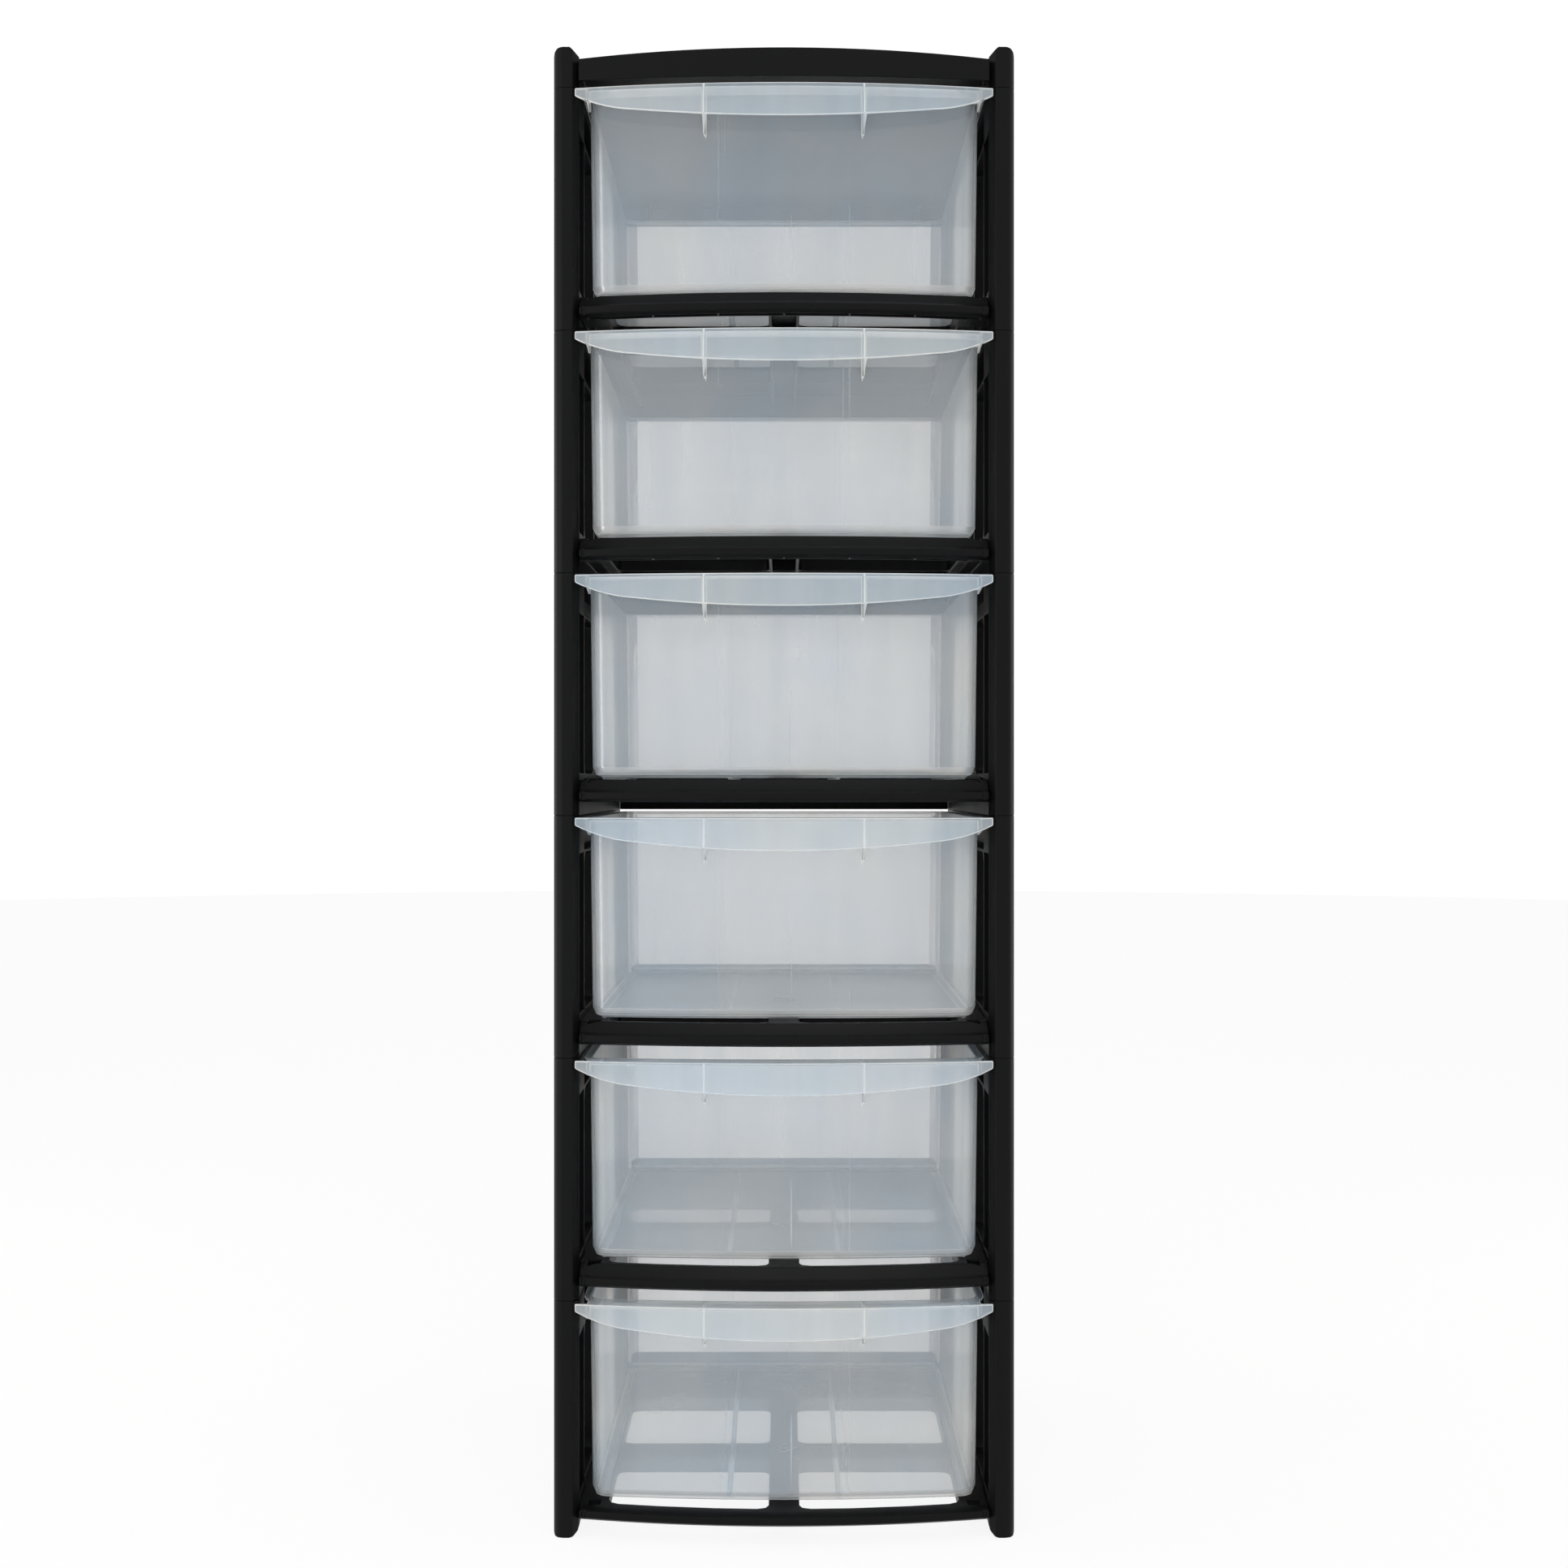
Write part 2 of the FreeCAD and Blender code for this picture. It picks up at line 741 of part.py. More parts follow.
def lid_rail(plate_top):
    """Return the bowed front rail of the lid, a little taller at its middle."""
    foot = plate_top - lid_rail_height
    low = foot - lid_belly - overrun
    high = plate_top + lid_crown + overrun
    end_y = bow_y(inner_x, 0)
    inner_end_y = bow_y(inner_x, lid_rail_wall)
    band = prism(
        [
            bow_arc(inner_x, 0, low),
            line(Vector(inner_x, end_y, low), Vector(inner_x, inner_end_y, low)),
            bow_arc(inner_x, lid_rail_wall, low),
            line(Vector(-inner_x, inner_end_y, low), Vector(-inner_x, end_y, low)),
        ],
        Vector(0, 0, high - low),
    )
    y = front_y - overrun
    front_view = prism(
        [
            arc(
                Vector(-inner_x, y, plate_top),
                Vector(0, y, plate_top + lid_crown),
                Vector(inner_x, y, plate_top),
            ),
            line(Vector(inner_x, y, plate_top), Vector(inner_x, y, foot)),
            arc(Vector(inner_x, y, foot), Vector(0, y, foot - lid_belly), Vector(-inner_x, y, foot)),
            line(Vector(-inner_x, y, foot), Vector(-inner_x, y, plate_top)),
        ],
        Vector(0, tower_depth, 0),
    )
    return band.common(front_view)


def lid():
    """Return the lid: a flat plate with a bowed rail, raised side rims and a rear skirt."""
    plate_top = tower_height - lid_sink
    plate_low = plate_top - lid_plate
    plate = prism(
        [
            bow_arc(inner_x, lid_rail_wall / 2, plate_low),
            line(
                Vector(inner_x, bow_y(inner_x, lid_rail_wall / 2), plate_low),
                Vector(inner_x, rear_y, plate_low),
            ),
            line(Vector(inner_x, rear_y, plate_low), Vector(-inner_x, rear_y, plate_low)),
            line(
                Vector(-inner_x, rear_y, plate_low),
                Vector(-inner_x, bow_y(inner_x, lid_rail_wall / 2), plate_low),
            ),
        ],
        Vector(0, 0, lid_plate),
    )
    skirt_low = top_seam_z + lid_skirt_gap
    skirt = block(
        Vector(-inner_x, rear_y - lid_skirt_wall, skirt_low),
        Vector(inner_x, rear_y, plate_top),
    )
    pieces = [lid_rail(plate_top), skirt, lid_side(), mirrored(lid_side())]
    for share in lid_gusset_places_shares:
        x = share * inner_x
        pieces.append(polygon_prism(
            [
                Vector(x, rear_y - lid_skirt_wall, skirt_low),
                Vector(x, rear_y - lid_skirt_wall, plate_low),
                Vector(x, rear_y - lid_skirt_wall - lid_gusset_depth, plate_low),
            ],
            Vector(lid_gusset_thickness, 0, 0),
        ))
    return plate.fuse(pieces).removeSplitter()


def save(name, shape):
    """Write one piece to its own file."""
    shape.exportStep(os.path.join("parts", name + ".step"))


def build():
    """Build every piece at its place and write it."""
    os.makedirs("parts", exist_ok=True)
    tub_shape = drawer()
    upper_side = side_frame(tier_height, shelf_lift, False)
    bottom_side = side_frame(bottom_tier_height, base_lift, True)
    upper_shelf = shelf(shelf_lift, shelf_skirt, nose_drop, nose_height, 0)
    base_shelf = shelf(base_lift, base_skirt, base_nose_drop, base_nose_height, base_lift - base_skirt)
    foot = 0
    for tier in range(1, tier_count + 1):
        lift = Vector(0, 0, foot)
        at_bottom = tier == 1
        side = bottom_side if at_bottom else upper_side
        frame = base_shelf if at_bottom else upper_shelf
        frame_name = "base_frame" if at_bottom else "shelf_frame_%d" % (tier - 1)
        height = bottom_tier_height if at_bottom else tier_height
        save("side_frame_right_%d" % tier, side.translated(lift))
        save("side_frame_left_%d" % tier, mirrored(side).translated(lift))
        save(frame_name, frame.translated(lift))
        save("drawer_%d" % tier, tub_shape.translated(Vector(0, 0, foot + height - bay_height)))
        foot += height
    save("top_panel", lid())


build()
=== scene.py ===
import math

import bpy
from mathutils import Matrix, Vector


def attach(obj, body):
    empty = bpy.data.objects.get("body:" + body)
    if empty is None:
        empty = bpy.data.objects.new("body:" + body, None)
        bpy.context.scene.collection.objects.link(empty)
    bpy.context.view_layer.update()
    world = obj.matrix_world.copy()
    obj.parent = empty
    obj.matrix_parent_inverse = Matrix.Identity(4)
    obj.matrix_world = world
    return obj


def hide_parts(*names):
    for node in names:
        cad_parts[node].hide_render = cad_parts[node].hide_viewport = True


bl_info = {
    "name": "Drawer Tower Dressing",
    "version": (1, 0, 0),
    "blender": (4, 5, 0),
    "location": "3D View > Sidebar > Drawer Tower",
    "description": "Gives the drawer tower its moulded black and clear plastic, and a studio",
    "category": "Object",
}

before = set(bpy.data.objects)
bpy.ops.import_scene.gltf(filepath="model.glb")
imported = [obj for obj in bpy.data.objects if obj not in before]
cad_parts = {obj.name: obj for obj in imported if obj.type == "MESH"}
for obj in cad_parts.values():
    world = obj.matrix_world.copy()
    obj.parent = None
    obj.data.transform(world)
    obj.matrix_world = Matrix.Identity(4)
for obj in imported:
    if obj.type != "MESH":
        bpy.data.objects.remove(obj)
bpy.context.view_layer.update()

# The tower's plan, in metres, as the construction has it.
TIERS = 6
POST_FRONT = -0.184
SECOND_TIER_FOOT = 0.1844
TIER_PITCH = 0.189

# The drawers' mouldings.
LIP_REAR = -0.1825
REAR_BEND = 0.15
GUSSET_IN = 0.0612
GUSSET_OUT = 0.0628
STRIP_SLACK = 0.0001
INNER_RUNNER = 0.0430
OUTER_RUNNER = 0.1420
RUNNER_DEPTH = 0.0012
# Painted highlights: brighter lines on the floor over the runners, partly the runners' own edges seen
# through, partly painted light.
RUNNER_HIGHLIGHT_HALF = 0.0022
RUNNER_HIGHLIGHT_STRENGTH = 0.34
END_WEB_ACROSS = (0.1505, 0.1545)
END_WEB_ALONG = (-0.186, -0.158)
END_WEB_DEPTH = 0.0275
END_WEB_FOOT = 0.0125
END_WEB_KEPT = 0.1

# How a drawer's faces lie, as shares of their normals along one axis.
STANDING = 0.1
TURNED = 0.15
BENT = 0.2
LEANING = 0.3
SQUARE_ON = 0.95
SQUARE_ACROSS = 0.99

# A painted glint: a thin bright line up the middle of a wall, standing in for a reflection, held to a band
# of each tier's height, and fainter lines at either side.
PAINTED_GLINT_X = 0.0057
PAINTED_GLINT_HALF = 0.0009
PAINTED_GLINT_STRENGTH = 0.3
PAINTED_GLINT_FOOT = (0.03, 0.06)
PAINTED_GLINT_TOP = (0.08, 0.105)
FAINT_LINES = ((0.0462, 0.05), (0.0512, 0.08))
FAINT_LINE_HALF = 0.0010

# How far a grazing look thickens the haze, its greatest gloss, and the share of the haze that
# is lit from behind.
GRAZING_HAZE = 3.2
THROUGH_SHARE = 0.4
GREATEST_GLOSS = 0.4

# Angles from which an edge is rounded, or shaded as sharp, and how a rounding is made.
BEVEL_ANGLE = math.radians(40)
SMOOTH_ANGLE = math.radians(38)
BEVEL_STEPS = 2
WELD = 1e-6

# A drawer's finishes, as the places of its materials.
WALL, LIP, EDGE, BEND, REAR_CORNER, SIDE_WALL, REAR_WALL = range(7)

# The studio. Each lamp has a name, place, size, power and colour, and may show in glossy faces.
WHITE = 1.03
ROOM_FILL = 0.56
FLOOR_SHARE = 0.87
STUDIO_MIDDLE = (0, 0, 0.58)
SENSOR_WIDTH = 36
DAYLIGHT = (1, 1, 1)
WARM_LIGHT = (1, 0.96, 0.91)
LAMPS = (
    ("window light", (-1.6, -1.5, 0.8), (0.5, 1.8), 10, DAYLIGHT, True),
    ("overhead", (0.2, -1.5, 2.9), (1.4, 1.0), 12, DAYLIGHT, True),
    ("front fill", (0.1, -2.4, 0.35), (1.8, 0.7), 13, DAYLIGHT, False),
    ("side light", (-2.1, 0.15, 0.6), (0.9, 1.6), 14, WARM_LIGHT, True),
    ("side light", (2.1, 0.15, 0.6), (0.9, 1.6), 14, WARM_LIGHT, True),
)


def colour_setting(name, description, default):
    """Return a setting for a colour."""
    return bpy.props.FloatVectorProperty(
        name=name, description=description, subtype="COLOR", size=3, min=0, max=1, default=default
    )


def share_setting(name, description, default):
    """Return a setting between 0 and 1."""
    return bpy.props.FloatProperty(
        name=name, description=description, subtype="FACTOR", min=0, max=1, default=default
    )


def length_setting(name, description, default, least=0):
    """Return a setting for a length."""
    return bpy.props.FloatProperty(
        name=name, description=description, subtype="DISTANCE", unit="LENGTH", min=least, default=default
    )


class FramePlasticSettings(bpy.types.PropertyGroup):
    """Sizes and colours of the black frame."""

    colour: colour_setting("Colour", "Colour of the black moulded plastic", (0.0035, 0.0036, 0.0038))
    edge_round: length_setting("Edge rounding", "Radius of the moulded edges", 0.0006)
    roughness: share_setting("Roughness", "How satin the black plastic is", 0.38)


class DrawerPlasticSettings(bpy.types.PropertyGroup):
    """Sizes and colours of the clear drawers. A haze is the share of light that each face scatters."""

    wall_tint: colour_setting("Wall tint", "Tint of the light that the walls scatter", (0.76, 0.865, 0.97))
    lip_tint: colour_setting("Lip tint", "Tint of the frosted pull lip", (0.79, 0.90, 1.0))
    # Edges, bends, gussets and runners are near white: partly the thicker plastic there, partly a painted
    # highlight for the light the edges carry.
    edge_painted_highlight_tint: colour_setting("Edge tint", "Tint of the bright moulded edges", (0.96, 0.98, 1.0))
    edge_round: length_setting("Edge rounding", "Radius of the drawer's moulded edges", 0.0008)
    # The side walls are painted light: a whiter tint and a thicker haze than the front wall, for the light
    # that falls on them from the sides.
    side_painted_light_tint: colour_setting("Side wall tint", "Tint of the side walls' light", (0.92, 0.94, 0.95))
    # The rear corners are painted dark and blue: painted shade for the dark line that refraction makes in
    # the bend.
    corner_painted_shade: colour_setting("Rear corner tint", "Tint of the dark rear corners", (0.40, 0.48, 0.58))
    wall_haze: share_setting("Wall haze", "Haze of the front wall and the floor", 0.245)
    lip_haze: share_setting("Lip haze", "Haze of the pull lip", 0.3)
    bend_haze: share_setting("Bend haze", "Haze of the thick bends between the walls", 0.3)
    side_haze: share_setting("Side wall haze", "Haze of the side walls", 0.36)
    # The rear wall has a thicker haze than the front wall, which darkens it against the white behind:
    # painted shade.
    rear_painted_shade_haze: share_setting("Rear wall haze", "Haze of the rear wall", 0.33)
    corner_haze: share_setting("Rear corner haze", "Haze of the rear corners", 0.45)
    edge_haze: share_setting("Edge haze", "Haze of the moulded edges", 0.75)


class StageSettings(bpy.types.PropertyGroup):
    """The studio around the tower."""

    camera_distance: length_setting("Camera distance", "From the posts' front to the camera", 1.5, 0.3)
    camera_height: length_setting("Camera height", "From the floor up to the camera", 0.587)
    view_width: length_setting("View width", "Width of the view at the posts' front", 1.2203, 0.3)


def deselect_all():
    """Leave nothing selected and nothing in edit mode."""
    if bpy.context.object and bpy.context.object.mode != "OBJECT":
        bpy.ops.object.mode_set(mode="OBJECT")
    bpy.ops.object.select_all(action="DESELECT")


def make_active(piece):
    """Select one piece alone."""
    deselect_all()
    piece.select_set(True)
    bpy.context.view_layer.objects.active = piece


def moulding_from(node, name):
    """Return a merged copy of a construction node, its triangles paired up."""
    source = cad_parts[node]
    piece = bpy.data.objects.new(name, source.data.copy())
    bpy.context.scene.collection.objects.link(piece)
    piece.data.materials.clear()
    make_active(piece)
    bpy.ops.object.mode_set(mode="EDIT")
    bpy.ops.mesh.select_all(action="SELECT")
    bpy.ops.mesh.remove_doubles(threshold=WELD)
    bpy.ops.mesh.tris_convert_to_quads(face_threshold=math.radians(0.4), shape_threshold=math.pi)
    bpy.ops.object.mode_set(mode="OBJECT")
    return piece


def round_edges(piece, radius, material=-1):
    """Round a moulding's sharp edges, in a material of their own if one is given."""
    make_active(piece)
    bevel = piece.modifiers.new("edges", "BEVEL")
    bevel.width = radius
    bevel.segments = BEVEL_STEPS
    bevel.limit_method = "ANGLE"
    bevel.angle_limit = BEVEL_ANGLE
    bevel.use_clamp_overlap = False
    bevel.miter_outer = "MITER_ARC"
    bevel.material = material
    bpy.ops.object.modifier_apply(modifier=bevel.name)


def smooth(piece):
    """Shade a piece smooth, its flat faces and sharp edges kept."""
    make_active(piece)
    bpy.ops.object.shade_smooth_by_angle(angle=SMOOTH_ANGLE)
    weight = piece.modifiers.new("flat faces", "WEIGHTED_NORMAL")
    weight.keep_sharp = True
    bpy.ops.object.modifier_apply(modifier=weight.name)


def node_tree(name):
    """Return a new material with its nodes, links and shader."""
    material = bpy.data.materials.new(name)
    material.use_nodes = True
    nodes = material.node_tree.nodes
    links = material.node_tree.links
    return material, nodes, links, nodes["Principled BSDF"]


def noise(nodes, links, place, scale, detail):
    """Return a noise texture laid over the piece."""
    node = nodes.new("ShaderNodeTexNoise")
    node.inputs["Scale"].default_value = scale
    node.inputs["Detail"].default_value = detail
    links.new(place, node.inputs["Vector"])
    return node.outputs["Fac"]


def bump(nodes, links, height, strength, distance):
    """Return a bump node that lifts the surface by a texture."""
    node = nodes.new("ShaderNodeBump")
    node.inputs["Strength"].default_value = strength
    node.inputs["Distance"].default_value = distance
    links.new(height, node.inputs["Height"])
    return node


def scaled(nodes, links, value, to_low, to_high, low=0.0, high=1.0):
    """Return a value carried straight from one range to another, held at both ends."""
    node = nodes.new("ShaderNodeMapRange")
    node.inputs["From Min"].default_value = low
    node.inputs["From Max"].default_value = high
    node.inputs["To Min"].default_value = to_low
    node.inputs["To Max"].default_value = to_high
    links.new(value, node.inputs["Value"])
    return node.outputs["Result"]


def black_plastic(settings):
    """Return the satin black of the frame: fine grain, slight flow marks."""
    material, nodes, links, shader = node_tree("black moulded plastic")
    shader.inputs["Base Color"].default_value = (*settings.colour, 1)
    shader.inputs["IOR"].default_value = 1.2
    place = nodes.new("ShaderNodeTexCoord").outputs["Object"]
    flow = noise(nodes, links, place, scale=14, detail=3)
    satin = scaled(nodes, links, flow, settings.roughness - 0.06, settings.roughness + 0.08)
    links.new(satin, shader.inputs["Roughness"])
    grain = noise(nodes, links, place, scale=1400, detail=2)
    fine = bump(nodes, links, grain, strength=0.04, distance=0.0001)
    wave = noise(nodes, links, place, scale=22, detail=1)
    swell = bump(nodes, links, wave, strength=0.25, distance=0.0006)
    links.new(swell.outputs["Normal"], fine.inputs["Normal"])
    links.new(fine.outputs["Normal"], shader.inputs["Normal"])
    return material


def maths(nodes, links, operation, first, second):
    """Add a maths node between two sockets or numbers and return its result."""
    node = nodes.new("ShaderNodeMath")
    node.operation = operation
    for index, value in enumerate((first, second)):
        if isinstance(value, (int, float)):
            node.inputs[index].default_value = value
        else:
            links.new(value, node.inputs[index])
    return node.outputs["Value"]


def ramp(nodes, links, value, low, high, to_low=0.0, to_high=1.0):
    """Return a value eased from one range to another, held at both ends."""
    result = scaled(nodes, links, value, to_low, to_high, low, high)
    result.node.interpolation_type = "SMOOTHSTEP"
    return result


def absolute(nodes, links, value):
    """Return a value without its sign."""
    return maths(nodes, links, "ABSOLUTE", value, 0.0)


def upright_line(nodes, links, across, x, half_width, strength):
    """Return a thin soft line at x, running up the moulding."""
    off = absolute(nodes, links, maths(nodes, links, "SUBTRACT", across, x))
    return ramp(nodes, links, off, half_width / 3, half_width, strength, 0.0)


def lines_and_painted_highlights(nodes, links, coordinates, streak):
    """Return a painted glint line up the middle, faint lines at either side and, on the floor, painted
    highlights over the runners below.
    """
    apart = nodes.new("ShaderNodeSeparateXYZ")
    links.new(coordinates.outputs["Object"], apart.inputs["Vector"])
    across = apart.outputs["X"]
    # The painted glint shows only in a band of each tier's height, where the reflection falls.
    height = maths(nodes, links, "SUBTRACT", apart.outputs["Z"], SECOND_TIER_FOOT)
    height = maths(nodes, links, "FLOORED_MODULO", height, TIER_PITCH)
    lifted = ramp(nodes, links, height, *PAINTED_GLINT_FOOT)
    ended = ramp(nodes, links, height, *PAINTED_GLINT_TOP, 1.0, 0.0)
    middle = maths(nodes, links, "MULTIPLY", lifted, ended)
    line = upright_line(nodes, links, across, PAINTED_GLINT_X, PAINTED_GLINT_HALF, PAINTED_GLINT_STRENGTH)
    line = maths(nodes, links, "MULTIPLY", line, middle)
    either_side = absolute(nodes, links, across)
    for x, strength in FAINT_LINES:
        faint = upright_line(nodes, links, either_side, x, FAINT_LINE_HALF, strength)
        line = maths(nodes, links, "ADD", line, faint)
    fade = ramp(nodes, links, streak, low=0.38, high=0.6, to_low=0.15)
    line = maths(nodes, links, "MULTIPLY", line, fade)
    tilt = nodes.new("ShaderNodeSeparateXYZ")
    links.new(coordinates.outputs["Normal"], tilt.inputs["Vector"])
    level = ramp(nodes, links, absolute(nodes, links, tilt.outputs["Z"]), low=0.6, high=0.9)
    # Painted highlights over the runners, on level faces only.
    for x in (INNER_RUNNER, OUTER_RUNNER):
        runner = upright_line(nodes, links, either_side, x, RUNNER_HIGHLIGHT_HALF, RUNNER_HIGHLIGHT_STRENGTH)
        runner = maths(nodes, links, "MULTIPLY", runner, level)
        line = maths(nodes, links, "ADD", line, runner)
    return line


def milky_plastic(name, tint, haze, roughness, sheen=0.04, spread=0.05, lined=False):
    """Return thin milky plastic: part see-through, part lit like frost, with a wavy gloss."""
    material, nodes, links, shader = node_tree(name)
    coordinates = nodes.new("ShaderNodeTexCoord")
    place = coordinates.outputs["Object"]
    cloud = noise(nodes, links, place, scale=8, detail=3)
    stretch = nodes.new("ShaderNodeMapping")
    stretch.inputs["Scale"].default_value = (45, 45, 3)
    links.new(place, stretch.inputs["Vector"])
    streak = noise(nodes, links, stretch.outputs["Vector"], scale=1, detail=2)
    flow = maths(nodes, links, "ADD", cloud, streak)

    slope = nodes.new("ShaderNodeLayerWeight")
    slope.inputs["Blend"].default_value = 0.5
    patch = scaled(nodes, links, flow, haze * (1 - spread), haze * (1 + spread), low=0.7, high=1.3)
    grazing = maths(nodes, links, "POWER", slope.outputs["Facing"], 8.0)
    depth = maths(nodes, links, "MULTIPLY_ADD", grazing, GRAZING_HAZE)
    depth.node.inputs[2].default_value = 1
    frost = maths(nodes, links, "MULTIPLY", patch, depth)
    if lined:
        # The lines include a painted glint and painted highlights over the runners.
        lines = lines_and_painted_highlights(nodes, links, coordinates, streak)
        frost = maths(nodes, links, "ADD", frost, lines)
    steep = maths(nodes, links, "POWER", slope.outputs["Facing"], 5.0)
    gloss = scaled(nodes, links, steep, sheen, GREATEST_GLOSS)
    wave = noise(nodes, links, place, scale=30, detail=2)
    swell = bump(nodes, links, wave, strength=0.5, distance=0.0012)

    red, green, blue = tint
    shade = nodes.new("ShaderNodeMix")
    shade.data_type = "RGBA"
    shade.inputs["A"].default_value = (red * 0.94, green * 0.98, blue, 1)
    shade.inputs["B"].default_value = (min(red * 1.06, 1), min(green * 1.02, 1), blue * 0.97, 1)
    links.new(ramp(nodes, links, cloud, low=0.35, high=0.65), shade.inputs["Factor"])
    links.new(shade.outputs["Result"], shader.inputs["Base Color"])
    shader.inputs["Roughness"].default_value = 0.6
    shader.inputs["Specular IOR Level"].default_value = 0
    through = nodes.new("ShaderNodeBsdfTranslucent")
    links.new(shade.outputs["Result"], through.inputs["Color"])
    body = nodes.new("ShaderNodeMixShader")
    body.inputs["Fac"].default_value = THROUGH_SHARE
    links.new(shader.outputs["BSDF"], body.inputs[1])
    links.new(through.outputs["BSDF"], body.inputs[2])
    clear = nodes.new("ShaderNodeBsdfTransparent")
    clear.inputs["Color"].default_value = (0.985, 0.97, 0.955, 1)
    milky = nodes.new("ShaderNodeMixShader")
    links.new(frost, milky.inputs["Fac"])
    links.new(clear.outputs["BSDF"], milky.inputs[1])
    links.new(body.outputs["Shader"], milky.inputs[2])
    shine = nodes.new("ShaderNodeBsdfGlossy")
    shine.inputs["Roughness"].default_value = roughness
    links.new(swell.outputs["Normal"], shine.inputs["Normal"])
    surface = nodes.new("ShaderNodeMixShader")
    links.new(gloss, surface.inputs["Fac"])
    links.new(milky.outputs["Shader"], surface.inputs[1])
    links.new(shine.outputs["BSDF"], surface.inputs[2])
    links.new(surface.outputs["Shader"], nodes["Material Output"].inputs["Surface"])
    return material


def frame_piece(node, material, settings):
    """Stand a rounded, satin moulding in for one black construction node."""
    piece = moulding_from(node, node + "_moulding")
    round_edges(piece, settings.edge_round)
    smooth(piece)
    piece.data.materials.append(material)
    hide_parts(node)
    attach(piece, "frame")
    return piece


class TOWER_OT_side_frames(bpy.types.Operator):
    """Make the moulded side frames"""

    bl_idname = "tower.side_frames"
    bl_label = "Side Frames"

    def execute(self, context):
        settings = context.scene.frame_plastic
        material = black_plastic(settings)
        for tier in range(1, TIERS + 1):
            for side in ("left", "right"):
                frame_piece("side_frame_%s_%d" % (side, tier), material, settings)
        return {"FINISHED"}


class TOWER_OT_shelf_frames(bpy.types.Operator):
    """Make the shelf frames with their bowed front bars"""

    bl_idname = "tower.shelf_frames"
    bl_label = "Shelf Frames"

    def execute(self, context):
        settings = context.scene.frame_plastic
        material = black_plastic(settings)
        frame_piece("base_frame", material, settings)
        for tier in range(1, TIERS):
            frame_piece("shelf_frame_%d" % tier, material, settings)
        return {"FINISHED"}


class TOWER_OT_lid(bpy.types.Operator):
    """Make the lid"""

    bl_idname = "tower.lid"
    bl_label = "Lid"

    def execute(self, context):
        settings = context.scene.frame_plastic
        frame_piece("top_panel", black_plastic(settings), settings)
        return {"FINISHED"}


def drawer_finish(piece, face, foot):
    """Return the finish of a drawer's face, from where it lies and how it faces."""
    across = abs(face.normal.x)
    along = abs(face.normal.y)
    upright = abs(face.normal.z)
    if face.center.y < LIP_REAR:
        places = [abs(piece.data.vertices[corner].co.x) for corner in face.vertices]
        on_gusset = min(places) > GUSSET_IN - STRIP_SLACK and max(places) < GUSSET_OUT + STRIP_SLACK
        # Gusset strips and the lip's downward faces take the near-white edge finish, partly a painted
        # highlight.
        return EDGE if on_gusset or face.normal.z < -LEANING else LIP
    # The runners take the edge finish too.
    if face.center.z < foot + RUNNER_DEPTH:
        return EDGE
    # Rear corners and rear bends take the finish painted dark as shade.
    if upright < STANDING and TURNED < across < SQUARE_ACROSS:
        return REAR_CORNER if face.center.y > 0 else WALL
    # Other bends take the near-white bend finish, partly a painted highlight.
    if BENT < upright < SQUARE_ON and along + across > LEANING:
        return REAR_CORNER if face.normal.y > TURNED or face.center.y > REAR_BEND else BEND
    # Side walls take the finish painted lighter, for the light from the sides.
    if across > SQUARE_ON:
        return SIDE_WALL
    # The rear wall takes the finish darkened as painted shade.
    return REAR_WALL if along > SQUARE_ON and face.center.y > 0 else WALL


def mark_gussets(piece):
    """Cut narrow strips into the lip where the two gussets join it."""
    make_active(piece)
    for place in (GUSSET_IN, GUSSET_OUT):
        for side in (-1, 1):
            bpy.ops.object.mode_set(mode="EDIT")
            bpy.ops.mesh.select_all(action="DESELECT")
            bpy.ops.object.mode_set(mode="OBJECT")
            for face in piece.data.polygons:
                face.select = face.center.y < LIP_REAR
            bpy.ops.object.mode_set(mode="EDIT")
            bpy.ops.mesh.select_mode(type="FACE")
            bpy.ops.mesh.bisect(plane_co=(side * place, 0, 0), plane_no=(1, 0, 0))
            bpy.ops.object.mode_set(mode="OBJECT")


def trim_end_webs(piece, top):
    """Draw the webs at the lip's two ends up behind the lip, where they don't show."""
    low = top - END_WEB_FOOT
    inner, outer = END_WEB_ACROSS
    front, back = END_WEB_ALONG
    for corner in piece.data.vertices:
        place = corner.co
        within = inner < abs(place.x) < outer and front < place.y < back
        if within and top - END_WEB_DEPTH < place.z < low:
            place.z = low - (low - place.z) * END_WEB_KEPT


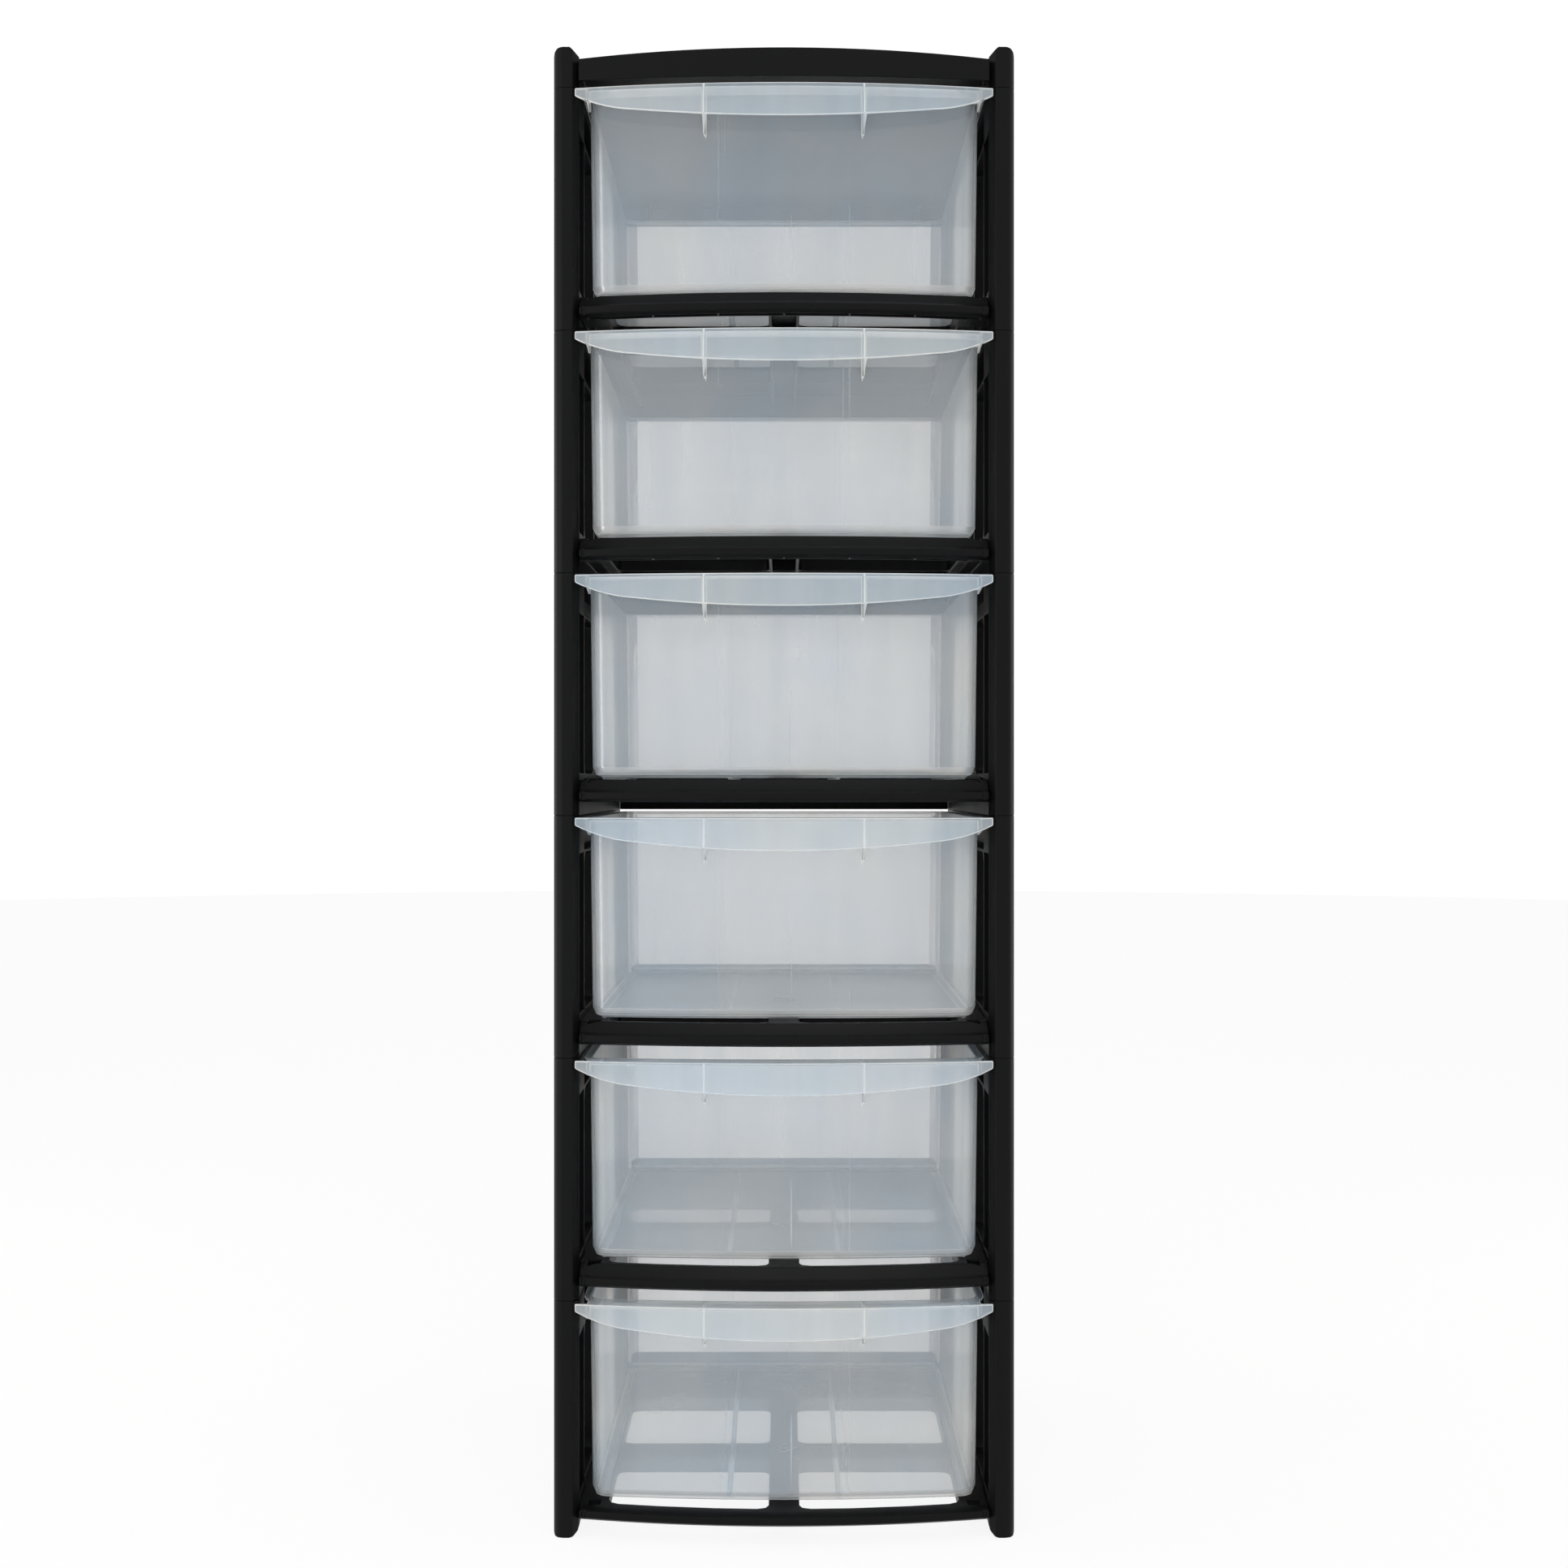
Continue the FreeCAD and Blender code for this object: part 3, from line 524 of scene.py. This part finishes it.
class TOWER_OT_drawers(bpy.types.Operator):
    """Make the clear drawers with their frosted pull lips"""

    bl_idname = "tower.drawers"
    bl_label = "Drawers"

    def execute(self, context):
        settings = context.scene.drawer_plastic
        finishes = (
            milky_plastic(
                "milky clear wall", settings.wall_tint, settings.wall_haze, roughness=0.08, lined=True
            ),
            milky_plastic(
                "frosted pull lip", settings.lip_tint, settings.lip_haze, roughness=0.2, spread=0.1
            ),
            # Edges and bends in a near-white tint, partly a painted highlight.
            milky_plastic(
                "bright moulded edge", settings.edge_painted_highlight_tint, settings.edge_haze, roughness=0.15
            ),
            milky_plastic(
                "thick moulded bend", settings.edge_painted_highlight_tint, settings.bend_haze, roughness=0.1, sheen=0.06
            ),
            # Rear corners: a dark tint painted as shade, and a stronger gloss.
            milky_plastic(
                "shaded rear corner", settings.corner_painted_shade, settings.corner_haze, roughness=0.06, sheen=0.22
            ),
            # Side walls painted lighter, for the light from the sides.
            milky_plastic(
                "side wall painted light", settings.side_painted_light_tint, settings.side_haze, roughness=0.08, spread=0.08
            ),
            # Rear wall: a thicker haze that darkens it as painted shade, with a wide random tone.
            milky_plastic(
                "milky rear wall",
                settings.wall_tint,
                settings.rear_painted_shade_haze,
                roughness=0.1,
                sheen=0.05,
                spread=0.2,
                lined=True,
            ),
        )
        for tier in range(1, TIERS + 1):
            node = "drawer_%d" % tier
            piece = moulding_from(node, node + "_moulding")
            top = max(corner.co.z for corner in piece.data.vertices)
            trim_end_webs(piece, top)
            mark_gussets(piece)
            for finish in finishes:
                piece.data.materials.append(finish)
            foot = min(corner.co.z for corner in piece.data.vertices)
            for face in piece.data.polygons:
                face.material_index = drawer_finish(piece, face, foot)
            # The rounded edges take the near-white edge finish, partly a painted highlight.
            round_edges(piece, settings.edge_round, EDGE)
            smooth(piece)
            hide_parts(node)
            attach(piece, "drawer_%d" % tier)
        return {"FINISHED"}


def soft_lamp(name, place, size, power, colour, mirrored):
    """Add an area lamp that looks at the middle of the tower."""
    lamp = bpy.data.lights.new(name, "AREA")
    lamp.shape = "RECTANGLE"
    lamp.size, lamp.size_y = size
    lamp.energy = power
    lamp.color = colour
    holder = bpy.data.objects.new(name, lamp)
    bpy.context.scene.collection.objects.link(holder)
    holder.location = place
    look = Vector(STUDIO_MIDDLE) - Vector(place)
    holder.rotation_euler = look.to_track_quat("-Z", "Y").to_euler()
    holder.visible_glossy = mirrored


def shown_white(nodes, links):
    """Return 1 for rays that show the background: seen, mirrored or through glass."""
    path = nodes.new("ShaderNodeLightPath")
    seen = maths(nodes, links, "MAXIMUM", path.outputs["Is Camera Ray"], path.outputs["Is Glossy Ray"])
    return maths(nodes, links, "MAXIMUM", seen, path.outputs["Is Transmission Ray"])


def white_room(scene):
    """Light the studio evenly, and show white wherever the background is seen."""
    world = bpy.data.worlds.new("studio")
    scene.world = world
    world.use_nodes = True
    nodes = world.node_tree.nodes
    links = world.node_tree.links
    fill = nodes["Background"]
    fill.inputs["Color"].default_value = (1, 1, 1, 1)
    fill.inputs["Strength"].default_value = ROOM_FILL
    white = nodes.new("ShaderNodeBackground")
    white.inputs["Color"].default_value = (1, 1, 1, 1)
    white.inputs["Strength"].default_value = WHITE
    mix = nodes.new("ShaderNodeMixShader")
    links.new(shown_white(nodes, links), mix.inputs["Fac"])
    links.new(fill.outputs["Background"], mix.inputs[1])
    links.new(white.outputs["Background"], mix.inputs[2])
    links.new(mix.outputs["Shader"], nodes["World Output"].inputs["Surface"])


def pale_floor():
    """Lay the pale floor, which keeps the tower's soft shadow."""
    deselect_all()
    bpy.ops.mesh.primitive_circle_add(vertices=96, radius=9, fill_type="NGON", location=(0, 0, -0.0005))
    floor = bpy.context.object
    floor.name = "studio_floor"
    bpy.ops.object.transform_apply(location=True, rotation=True, scale=True)
    material, nodes, links, shader = node_tree("pale floor")
    shader.inputs["Base Color"].default_value = (0.86, 0.86, 0.86, 1)
    shader.inputs["Roughness"].default_value = 0.7
    shader.inputs["Specular IOR Level"].default_value = 0.1
    white = nodes.new("ShaderNodeEmission")
    white.inputs["Strength"].default_value = WHITE
    share = maths(nodes, links, "MULTIPLY", shown_white(nodes, links), FLOOR_SHARE)
    mix = nodes.new("ShaderNodeMixShader")
    links.new(share, mix.inputs["Fac"])
    links.new(shader.outputs["BSDF"], mix.inputs[1])
    links.new(white.outputs["Emission"], mix.inputs[2])
    links.new(mix.outputs["Shader"], nodes["Material Output"].inputs["Surface"])
    floor.data.materials.append(material)


class TOWER_OT_studio(bpy.types.Operator):
    """Set up the floor, lamps, world and camera"""

    bl_idname = "tower.studio"
    bl_label = "Studio"

    def execute(self, context):
        settings = context.scene.tower_stage
        scene = context.scene
        scene.view_settings.view_transform = "Standard"
        white_room(scene)
        pale_floor()
        for lamp in LAMPS:
            soft_lamp(*lamp)
        camera = bpy.data.cameras.new("camera")
        camera.sensor_width = SENSOR_WIDTH
        camera.lens = SENSOR_WIDTH * settings.camera_distance / settings.view_width
        holder = bpy.data.objects.new("camera", camera)
        scene.collection.objects.link(holder)
        holder.location = (0, POST_FRONT - settings.camera_distance, settings.camera_height)
        holder.rotation_euler = (math.pi / 2, 0, 0)
        scene.camera = holder
        return {"FINISHED"}


class TOWER_PT_panel(bpy.types.Panel):
    """Lists the tower's settings and steps"""

    bl_idname = "TOWER_PT_panel"
    bl_label = "Drawer Tower"
    bl_space_type = "VIEW_3D"
    bl_region_type = "UI"
    bl_category = "Drawer Tower"

    def draw(self, context):
        scene = context.scene
        for group in (scene.frame_plastic, scene.drawer_plastic, scene.tower_stage):
            for name in group.bl_rna.properties.keys():
                if name not in ("rna_type", "name"):
                    self.layout.prop(group, name)
        for step in STEPS:
            self.layout.operator(step.bl_idname)


STEPS = (
    TOWER_OT_side_frames,
    TOWER_OT_shelf_frames,
    TOWER_OT_lid,
    TOWER_OT_drawers,
    TOWER_OT_studio,
)
GROUPS = (FramePlasticSettings, DrawerPlasticSettings, StageSettings)


def register():
    """Register the settings, steps and panel."""
    for item in GROUPS + STEPS + (TOWER_PT_panel,):
        bpy.utils.register_class(item)
    bpy.types.Scene.frame_plastic = bpy.props.PointerProperty(type=FramePlasticSettings)
    bpy.types.Scene.drawer_plastic = bpy.props.PointerProperty(type=DrawerPlasticSettings)
    bpy.types.Scene.tower_stage = bpy.props.PointerProperty(type=StageSettings)


def unregister():
    """Take the settings, steps and panel away again."""
    del bpy.types.Scene.frame_plastic
    del bpy.types.Scene.drawer_plastic
    del bpy.types.Scene.tower_stage
    for item in reversed(GROUPS + STEPS + (TOWER_PT_panel,)):
        bpy.utils.unregister_class(item)


def main():
    """Dress the tower step by step."""
    register()
    bpy.ops.tower.side_frames()
    bpy.ops.tower.shelf_frames()
    bpy.ops.tower.lid()
    bpy.ops.tower.drawers()
    bpy.ops.tower.studio()


if __name__ == "__main__":
    main()
